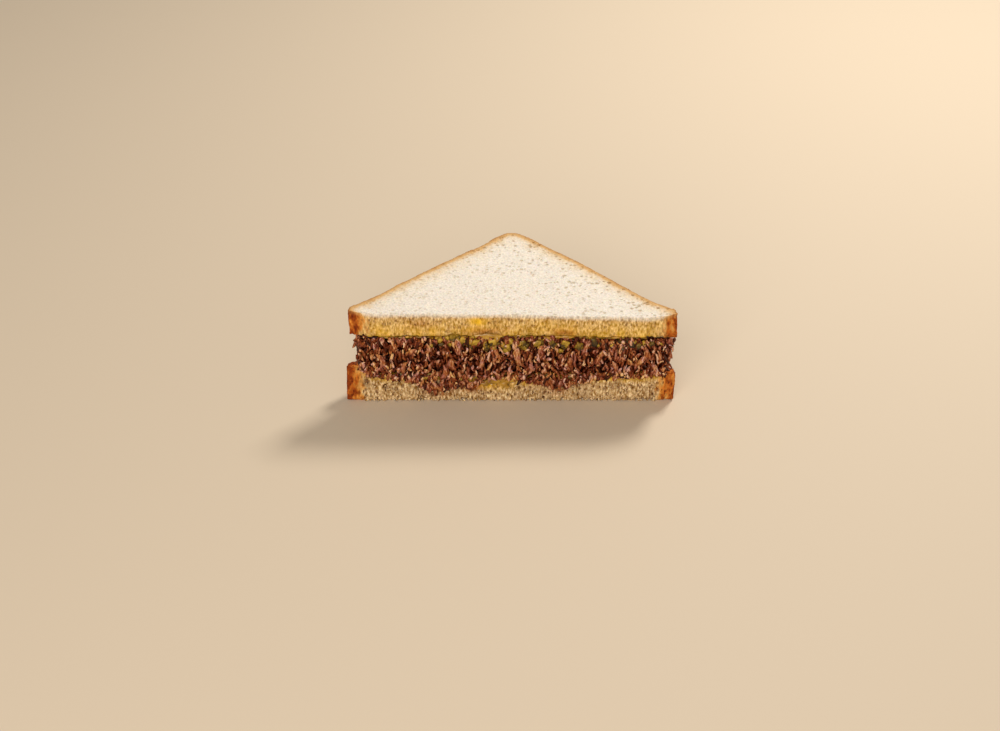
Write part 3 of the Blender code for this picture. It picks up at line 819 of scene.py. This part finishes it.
def strand_at(x, layer_y, share, tint, scale):
    """One strand. share tells how high it lies, from 0 at the beef's lower end to 1 at its top."""
    inset = FOOT_INSET * clamp(0, 1 - share / FOOT_SHARE, 1)
    x = clamp(BEEF_LEFT + 1.3 * inset, x, BEEF_RIGHT - inset)
    length = rng.choice(STRAND_LENGTHS) * rng.uniform(0.85, 1.15) * scale * MM
    width = rng.uniform(0.5, 1.0) * scale * MM
    depth = rng.uniform(0.55, 0.9) * scale * MM
    turn = turned(about(22), rng.gauss(0, 26), about(50))
    tall = abs(turn[2][2]) * length
    low, high = beef_bottom(x), beef_top(x) + overlap(x)
    z = clamp(low + tall * 0.85, low + (high - low) * share, high - tall * 0.9)
    y = cut_y + layer_y + about(0.5) * MM
    if z - tall < lower_slice_top(in_slices(x)) + CLEAR or z + tall > beef_top(x) - CLEAR:
        y = min(y, cut_y - depth - CLEAR)
    # Strands under the upper slice are painted darker, as painted shade.
    shade = SHADE * max(0, share - SHADE_FROM) / (1 - SHADE_FROM)
    shade += DARKEST - CLUSTER_TINT * noise.noise(Vector((x, 0, z)) / CLUSTER)
    return (x, y, z), turn, (width, depth, length), clamp(DARKEST, rng.gauss(tint - shade, TINT_SPREAD), 1)


def front_strands():
    places = []
    for layer_y, pitch, row, tint in LAYERS:
        columns = round((BEEF_RIGHT - BEEF_LEFT) / pitch)
        for column in range(columns + 1):
            foot = BEEF_LEFT + (BEEF_RIGHT - BEEF_LEFT) * column / columns
            rows = max(1, round((beef_top(foot) - beef_bottom(foot)) / row))
            for step in range(rows + 1):
                x = clamp(BEEF_LEFT, foot + about(0.5) * pitch, BEEF_RIGHT)
                share = (step + about(0.5)) / rows
                places.append(strand_at(x, layer_y, share, tint, 1.0))
    return places


# Strands further behind the cut are painted darker, as painted shade.
def darken_behind(piece):
    points = points_of(piece)
    tints = np.empty(len(points))
    layer = piece.data.attributes["tint"].data
    layer.foreach_get("value", tints)
    behind = np.clip((points[:, 1] - BEEF_FRONT) / DARK_BEHIND, 0, 1)
    layer.foreach_set("value", tints * (1 - JUICE_SHADE * behind**1.3))


# Each strand's upper end is painted lighter, as a painted highlight.
front_piece = scatter("beef_strands", strand_shapes, front_strands(), slope=0.17)
darken_behind(front_piece)
finish_piece(front_piece, beef, "minced_beef", "minced_beef")

# %% [markdown]
# A few pieces were hardly chopped at all. They lie on top, each given as (x, z, half length, half
# width, lean to the right in degrees). Around them lie several hundred small shreds.

# %% Large pieces of beef, and small shreds
LARGE_PIECES = [
    (3.5, 25.5, 6.0, 1.7, -12), (-13.5, 22.0, 5.0, 1.2, 24), (62.0, 27.0, 3.6, 1.3, -30),
    (58.5, 23.5, 3.8, 1.2, 35), (-58.0, 24.0, 4.0, 1.3, -25), (-44.0, 28.0, 3.2, 1.4, 15),
    (-52.0, 31.0, 3.0, 1.1, 8), (27.0, 22.5, 3.6, 1.4, -8), (40.0, 25.0, 3.8, 1.3, 30),
    (-30.0, 17.0, 4.2, 1.5, 12), (14.0, 30.0, 3.2, 1.3, 20), (-23.0, 29.5, 3.2, 1.1, -6),
    (-34.5, 9.6, 3.4, 1.0, -6), (-31.0, 10.6, 3.0, 0.8, 8), (-37.5, 9.4, 2.4, 0.9, 4),
    (-27.5, 11.2, 2.6, 0.7, -10), (-18.5, 10.4, 2.2, 0.8, 22), (-21.5, 10.8, 2.4, 0.7, -4),
    (22.5, 9.8, 3.2, 0.9, 5), (19.0, 10.2, 2.6, 0.8, -12), (26.5, 10.6, 2.4, 0.8, 10),
    (14.5, 11.4, 2.2, 0.7, 2), (-42.0, 12.6, 2.2, 0.7, -8), (-37.0, 30.0, 3.4, 1.2, 14),
    (-5.5, 27.0, 3.0, 1.1, -20), (33.0, 29.5, 3.0, 1.0, 26), (47.0, 20.5, 3.4, 1.2, -15),
    (-48.0, 20.0, 3.6, 1.1, 18), (9.0, 19.0, 3.2, 1.1, 10), (-26.0, 21.5, 3.8, 1.2, -16),
]
LARGE_Y, LARGE_DEPTH = cut_y - 1.9 * MM, 0.9 * MM
SHREDS, SHRED_FRONT, SHRED_TINT = 620, -1.7 * MM, 0.66
SHRED_SCALES = (0.32, 0.4, 0.5, 0.65, 0.9)


def large_pieces():
    places = []
    for x, z, half_length, half_width, lean in LARGE_PIECES:
        turn = turned(about(10), lean, about(25))
        half_sizes = (half_width * MM, LARGE_DEPTH, half_length * MM)
        places.append(((x * MM, LARGE_Y, z * MM), turn, half_sizes, rng.uniform(0.55, 0.72)))
    for index in range(SHREDS):
        x = BEEF_LEFT + (BEEF_RIGHT - BEEF_LEFT) * (index + rng.random()) / SHREDS
        places.append(strand_at(x, SHRED_FRONT, rng.random(), SHRED_TINT, rng.choice(SHRED_SCALES)))
    return places


# Large pieces and shreds get a painted highlight on their upper ends, and painted shade behind.
large_piece = scatter("beef_large_pieces", strand_shapes, large_pieces(), slope=0.1)
darken_behind(large_piece)
finish_piece(large_piece, beef, "minced_beef")

# %% [markdown]
# The two crust sides are open as well, so meat shows there too, a little inside the crust. Here no
# knife dragged the strands upright, and they lie every way. The layers are given as on the cut, and
# the deeper ones are painted darker, as painted shade.

# %% Strands along the crust sides
SIDE_INSET = 3.0 * MM
TIP_END, APEX_END = 7 * MM, 2.5 * MM
# Layers further in have lower tints, as painted shade.
SIDE_LAYERS = [
    (1.6 * MM, 2.4 * MM, 3.2 * MM, 0.2), (0.5 * MM, 2.2 * MM, 2.9 * MM, 0.34),
    (-0.3 * MM, 2.0 * MM, 2.7 * MM, 0.44),
]
SIDE_LENGTHS = (0.9, 1.3, 1.9, 3.2)
half_side = (upper_half_cut + CORNER * (math.sqrt(2) - 1)) / math.sqrt(2)
reach = 2 * half_side - TIP_END - APEX_END


def side_columns():
    """Every column of strands along the two sides: its foot, its directions and its layer."""
    for side in (-1, 1):
        out = Vector((side, 1, 0)) / math.sqrt(2)
        to_apex = Vector((-side, 1, 0)) / math.sqrt(2)
        middle = Vector((upper_middle_x, cut_y, 0)) + out * (half_side - SIDE_INSET)
        for inward, pitch, row, tint in SIDE_LAYERS:
            columns = round(reach / pitch)
            for column in range(columns + 1):
                along = TIP_END - half_side + reach * column / columns
                yield middle + to_apex * along - out * inward, to_apex, out, side, pitch, row, tint


def side_strands():
    places = []
    for foot, to_apex, out, side, pitch, row, tint in side_columns():
        low, high = lower_slice_top(foot.x, foot.y), upper_slice_underside(foot.x, foot.y)
        rows = round((high - low) / row)
        for step in range(rows + 1):
            length, width = rng.choice(SIDE_LENGTHS) * MM, rng.uniform(0.5, 1.25) * MM
            turn = turned(about(25), about(75), side * -45 + rng.gauss(0, 15))
            tall = abs(turn[2][2]) * length + abs(turn[2][0]) * width
            z = low + (high - low) * (step + about(0.5)) / rows
            spot = foot + to_apex * about(0.5) * pitch + out * about(0.5) * MM
            centre = (spot.x, spot.y, clamp(low + tall, z, high - tall))
            shade = clamp(0.05, rng.gauss(tint, 0.15), 0.75)
            places.append((centre, turn, (width, LARGE_DEPTH, length), shade))
    return places


# Side strands also get a painted highlight on their upper ends.
side_piece = scatter("beef_strands_at_sides", strand_shapes, side_strands(), slope=0.15)
finish_piece(side_piece, beef, "minced_beef")

# %% [markdown]
# ## Gherkin
# Chopped pickled gherkin: firm, wet, half clear flesh of a yellowish olive, with a darker skin on
# one side. The tint runs from skin to flesh, and a soft noise mottles it. The dark end of the range
# is partly the skin and partly painted shade between the pieces.

# %% Pickled gherkin
# The darkest stops are partly skin and partly painted shade.
GHERKIN_RANGE = [(0.0, "#1e1002"), (0.35, "#543e08"), (0.7, "#9a7a1c"), (1.0, "#d2ac44")]
gherkin, tree, shader = new_material("pickled_gherkin")
place = add_node(tree, "TexCoord", output="Object")
mottled = add_node(tree, "TexNoise", {"Vector": place, "Scale": per_mm(1.6), "Detail": 3})
tint = add_node(tree, "Attribute", attribute_name="tint", output="Fac")
unevenness = add_node(tree, "MapRange", [mottled, 0.3, 0.7, -0.2, 0.2])
tone = add_node(tree, "Math", [tint, unevenness], operation="ADD", use_clamp=True)
colour = add_node(tree, "ValToRGB", [tone], GHERKIN_RANGE)
bump = add_node(tree, "Bump", {"Height": mottled, "Distance": 0.3 * MM, "Strength": 0.4})
feed(tree, shader, {
    "Base Color": colour, "Normal": bump, "Roughness": 0.4, "Specular IOR Level": 0.3,
    "Subsurface Weight": 0.2, "Subsurface Radius": (1.0, 0.8, 0.3), "Subsurface Scale": 1.0 * MM,
    "Coat Weight": 0.15, "Coat Roughness": 0.1,
})
print(gherkin.name, "has", len(tree.nodes), "nodes")

# %% [markdown]
# The relish is a thin layer of which only the rim shows, so it is the solid's own layer with
# chopped pieces along the cut. A chopped piece is a cube knocked out of square, its edges softened
# by a bevel. The biggest ones are given as (x, depth below the upper slice, half size, tint, lean),
# in millimetres and degrees. The rest fill in between.

# %% Gherkin layer and its pieces
LARGE_BITS = [
    (-26.0, -0.9, 1.8, 0.5, 10), (-21.5, 0.6, 2.2, 0.75, -12), (-15.5, 2.0, 2.4, 0.85, 15),
    (-10.8, 5.0, 2.0, 0.4, 5), (-8.0, 2.0, 2.3, 0.8, -20), (-2.6, 5.0, 2.0, 0.42, 8),
    (-0.6, 1.8, 2.2, 0.7, 40), (5.6, 2.2, 2.1, 0.5, -30), (12.0, 2.2, 2.0, 0.75, 8),
    (18.5, 2.0, 1.9, 0.35, -15), (24.0, 2.6, 2.3, 0.65, 25), (30.8, 3.4, 2.0, 0.45, 0),
    (37.3, 1.0, 2.5, 0.25, -10), (45.0, 1.4, 1.8, 0.4, 20), (54.0, 1.6, 2.0, 0.2, 0),
    (57.0, 2.8, 2.2, 0.3, -20), (63.0, 1.8, 1.8, 0.35, 12), (-31.5, 0.6, 1.5, 0.65, 30),
]
LARGE_BIT_Y, LARGE_BIT_DEPTH = cut_y - 1.5 * MM, 1.2 * MM
SMALL_BITS = 56
HIGHEST_BIT = -1.2
LAYER_NET, LAYER_TINT = 0.8 * MM, 0.3


def chopped_shape(seed):
    """A chopped piece with soft edges, each one a little out of square."""
    piece = start_from(bpy.ops.mesh.primitive_cube_add, size=1.7)
    edit_all()
    bpy.ops.transform.vertex_random(offset=0.3, uniform=1.0, seed=seed)
    bpy.ops.mesh.bevel(offset=0.36, segments=2, affect="EDGES")
    end_edit()
    return shape_arrays(piece)


def gherkin_places():
    places = []
    for x, depth, half, tint, lean in LARGE_BITS:
        turn = turned(about(20), lean, about(30))
        centre = (x * MM, LARGE_BIT_Y, upper_slice_underside(x * MM) - depth * MM)
        half_sizes = (half * rng.uniform(0.6, 1.0) * MM, LARGE_BIT_DEPTH, half * rng.uniform(0.75, 1.1) * MM)
        places.append((centre, turn, half_sizes, tint))
    for index in range(SMALL_BITS):
        beside, depth = LARGE_BITS[index % len(LARGE_BITS)][:2]
        x = (beside + rng.gauss(0, 2.6)) * MM
        half = rng.uniform(0.7, 1.3) * MM
        turn = turned(about(40), about(60), about(40))
        down = max(HIGHEST_BIT, depth - 0.2 + rng.gauss(0, 1.6)) * MM
        centre = (x, cut_y - rng.uniform(0.8, 2.2) * MM, upper_slice_underside(x) - down - half / 2)
        half_sizes = (half * rng.uniform(0.6, 1.2), half * 0.7, half * rng.uniform(0.8, 1.6))
        places.append((centre, turn, half_sizes, rng.uniform(0.1, 0.75)))
    return places


chopped_shapes = [chopped_shape(seed) for seed in range(1, 8)]
relish_layer = netted_copy("pickle_relish", "gherkin_layer", LAYER_NET)
paint(relish_layer, "tint", LAYER_TINT)
finish_piece(relish_layer, gherkin, "pickle_relish", "pickle_relish")
chopped_gherkin = scatter("chopped_gherkin", chopped_shapes, gherkin_places(), slope=0.25)
finish_piece(chopped_gherkin, gherkin, "pickle_relish")

# %% [markdown]
# ## Dressing
# Mustard stirred into mayonnaise: smooth, opaque, golden yellow, with a soft gloss. A wide noise
# swirls darker mustard into it.

# %% Mustard mayonnaise
SAUCE_RANGE = [(0.35, "#8c6412"), (0.5, "#b58620"), (0.65, "#d6ab48")]
sauce, tree, shader = new_material("mustard_mayonnaise")
place = add_node(tree, "TexCoord", output="Object")
swirled = add_node(tree, "TexNoise", {"Vector": place, "Scale": per_mm(4.0), "Detail": 4})
colour = add_node(tree, "ValToRGB", [swirled], SAUCE_RANGE)
bump = add_node(tree, "Bump", {"Height": swirled, "Distance": 0.3 * MM, "Strength": 0.3})
feed(tree, shader, {
    "Base Color": colour, "Normal": bump, "Roughness": 0.32, "Subsurface Weight": 0.12,
    "Subsurface Radius": (1.0, 0.7, 0.3), "Subsurface Scale": 1.0 * MM,
    "Coat Weight": 0.3, "Coat Roughness": 0.15,
})
print(sauce.name, "has", len(tree.nodes), "nodes")

# %% [markdown]
# The dressing sits as a thin layer on both slices. Along the cut it was squeezed out and smeared,
# so blobs, smears and drops are added to the layer's copy, and a remesh followed by smoothing melts
# all of it into one. A blob is (x, height above the slice's face, half width, half height, lean),
# in millimetres and degrees. Smears and drops are placed at random along their range of x.

# %% Dressing on both slices
UPPER_BLOBS = [
    (-32, -0.5, 2.8, 1.6, 0), (-20.5, -0.2, 2.2, 1.2, 10), (-17.5, -1.4, 1.4, 2.4, 12),
    (-13.5, -1.0, 2.2, 1.2, 12), (-11.6, -3.0, 1.0, 2.6, 8), (-6.4, -1.8, 0.9, 2.8, -6),
    (-8.6, -0.8, 1.8, 1.0, -8), (2.5, -0.2, 2.0, 0.8, 0), (10.5, -1.4, 0.8, 2.2, 8),
    (25, 0.6, 3.4, 0.9, 0), (29.6, -1.2, 1.0, 1.5, 10), (21, 0.6, 2.0, 0.8, 0),
]
LOWER_BLOBS = [
    (-8, -1.6, 4.4, 1.2, 0), (-12, -2.6, 2.2, 1.0, 15), (-3, -2.8, 1.8, 1.2, -10),
    (0.6, -1.4, 2.4, 1.0, 0), (50, -0.4, 3.6, 0.7, 0), (36, -0.6, 2.4, 0.8, 0),
    (-57, -0.5, 3.4, 0.7, 0), (8, -1.0, 2.4, 0.9, 0), (-1.5, -4.2, 1.3, 0.8, 0),
    (60, -0.3, 2.4, 0.6, 0),
]
SMEARS, SMEARS_FROM, SMEARS_OVER = 9, -50, 104
UPPER_DROPS, DROPS_FROM, DROPS_TO = 16, -27, 14
SAUCE_NET, MELTED_NET, SAUCE_GRAIN = 0.5 * MM, 0.4 * MM, 0.4 * MM


def squeezed_out(level, blobs, drops):
    """Places of all the blobs, smears and drops at one slice, whose face has the height level."""
    places = []
    for x, up, half_width, half_height, lean in blobs:
        thickness = clamp(0.6, 0.35 * half_height + 0.3 * abs(min(up, 0)), 1.2) * MM
        centre = (x * MM, cut_y - 0.3 * MM - 0.6 * thickness, level(x * MM) + up * MM)
        places.append((centre, turned(0, lean, 0), (half_width * MM, thickness, half_height * MM), 0))
    for index in range(SMEARS):
        x = (SMEARS_FROM + SMEARS_OVER * (index + rng.random()) / SMEARS) * MM
        half_sizes = (rng.uniform(1.2, 3.2) * MM, rng.uniform(0.5, 0.8) * MM, rng.uniform(0.4, 1.0) * MM)
        centre = (x, cut_y - 0.1 * MM, level(x) + about(0.8) * MM)
        places.append((centre, turned(0, about(12), 0), half_sizes, 0))
    for _ in range(drops):
        x, half = rng.uniform(DROPS_FROM, DROPS_TO) * MM, rng.uniform(0.6, 1.3) * MM
        centre = (x, cut_y - rng.uniform(1.2, 2.2) * MM, level(x) - rng.uniform(0.5, 5.5) * MM)
        half_sizes = (half, 0.7 * half, half * rng.uniform(0.8, 1.5))
        places.append((centre, turned(0, about(40), 0), half_sizes, 0))
    return places


def dressing_layer(node, name, places):
    """The layer of dressing and what was squeezed out of it, melted together."""
    layer = netted_copy(node, name, SAUCE_NET)
    squeezed = scatter(name + "_blobs", round_shapes, places)
    select_only(layer)
    squeezed.select_set(True)
    bpy.ops.object.join()
    apply_modifier(layer, "REMESH", mode="VOXEL", voxel_size=MELTED_NET)
    displace(layer, fine_grain, SAUCE_GRAIN)
    apply_modifier(layer, "SMOOTH", factor=0.5, iterations=4)
    finish_piece(layer, sauce, "mustard_dressing", node)


round_shapes = [lump_shape(1, roughness=0.0, subdivisions=3)]
upper_places = squeezed_out(upper_slice_underside, UPPER_BLOBS, UPPER_DROPS)
dressing_layer("dressing_upper", "dressing_on_upper_slice", upper_places)
lower_places = squeezed_out(lower_slice_top, LOWER_BLOBS, drops=0)
dressing_layer("dressing_lower", "dressing_on_lower_slice", lower_places)

# %% [markdown]
# ## Crumbs
# The knife tore small crumbs loose along the cut, most of all at its bottom edge, where they look
# like a row of tiny teeth. Each is a rough little ball.

# %% Crumbs along the cut
CRUMB_MARGIN = 9 * MM
CRUMB_ROUGHNESS, CRUMB_TINT = 0.22, 0.5


def torn_crumbs(count, lowest, height):
    """Places of crumbs all along the lower slice's cut, from lowest upwards."""
    places = []
    for index in range(count):
        x = lower_box[0].x + (lower_box[1].x - lower_box[0].x) * (index + rng.random()) / count
        x = clamp(lower_box[0].x + CRUMB_MARGIN, x, lower_box[1].x - CRUMB_MARGIN)
        half = rng.uniform(0.25, 0.6) * MM
        z = max(lowest + rng.uniform(0, height), half)
        turn = turned(rng.uniform(0, 90), rng.uniform(0, 90), rng.uniform(0, 90))
        centre = (x, cut_y - rng.uniform(-0.1, 0.3) * MM, z)
        places.append((centre, turn, (half, half, half * 1.3), CRUMB_TINT))
    return places


crumb_shapes = [lump_shape(seed, CRUMB_ROUGHNESS, subdivisions=1) for seed in range(20, 26)]
crumb_places = torn_crumbs(150, 0.3 * MM, 0.9 * MM) + torn_crumbs(160, 1.5 * MM, 9 * MM)
crumb_piece = scatter("torn_crumbs", crumb_shapes, crumb_places)
paint(crumb_piece, "cut_face", 1.0)
finish_piece(crumb_piece, bread, "white_bread")

# %% [markdown]
# ## Floor, light and camera
# The sandwich lies on a plain pale floor. Sunlight from behind on the right lights its top, and a
# wide soft light from the front fills the shade on the cut face. The camera looks down by about
# 35 degrees from about 65 centimetres away.

# %% Floor
floor = start_from(bpy.ops.mesh.primitive_plane_add, size=4)
floor.name = "floor"
plaster, tree, shader = new_material("pale_floor")
feed(tree, shader, {"Base Color": linear("#d9cbb6"), "Roughness": 0.7})
floor.data.materials.append(plaster)
print("floor of", floor.dimensions.x, "m")

# %% Lights
def area_light(name, location, size, power, hex_colour):
    """A square lamp of size metres and power watts, which looks at the sandwich."""
    data = bpy.data.lights.new(name, "AREA")
    data.size = size
    data.energy = power
    data.color = linear(hex_colour)[:3]
    lamp = new_object(name, data)
    lamp.location = location
    lamp.rotation_euler = (-Vector(location)).to_track_quat("-Z", "Y").to_euler()
    print(name, "at", location)


area_light("key_from_behind", (0.45, 0.55, 0.75), 0.25, 7.4, "#fff6ea")
area_light("fill_from_front", (-0.25, -0.9, 0.55), 0.7, 6.4, "#fff4e8")
world = bpy.data.worlds.new("soft_room")
world.use_nodes = True
feed(world.node_tree, world.node_tree.nodes["Background"], {"Color": linear("#fff4e6"), "Strength": 0.32})
bpy.context.scene.world = world
bpy.context.scene.view_settings.view_transform = "Standard"

# %% Camera
CAMERA_PITCH = 35.4
CAMERA_AT = Vector((-4.75 * MM, cut_y - 527 * MM, 394.3 * MM))
camera_data = bpy.data.cameras.new("camera")
camera_data.lens = 51.5
camera_data.sensor_width = 36
camera = new_object("camera", camera_data)
camera.location = CAMERA_AT
camera.rotation_euler = (math.radians(90 - CAMERA_PITCH), 0, 0)
bpy.context.scene.camera = camera
print("camera", round(CAMERA_AT.length / MM), "mm from the origin, down by", CAMERA_PITCH, "degrees")
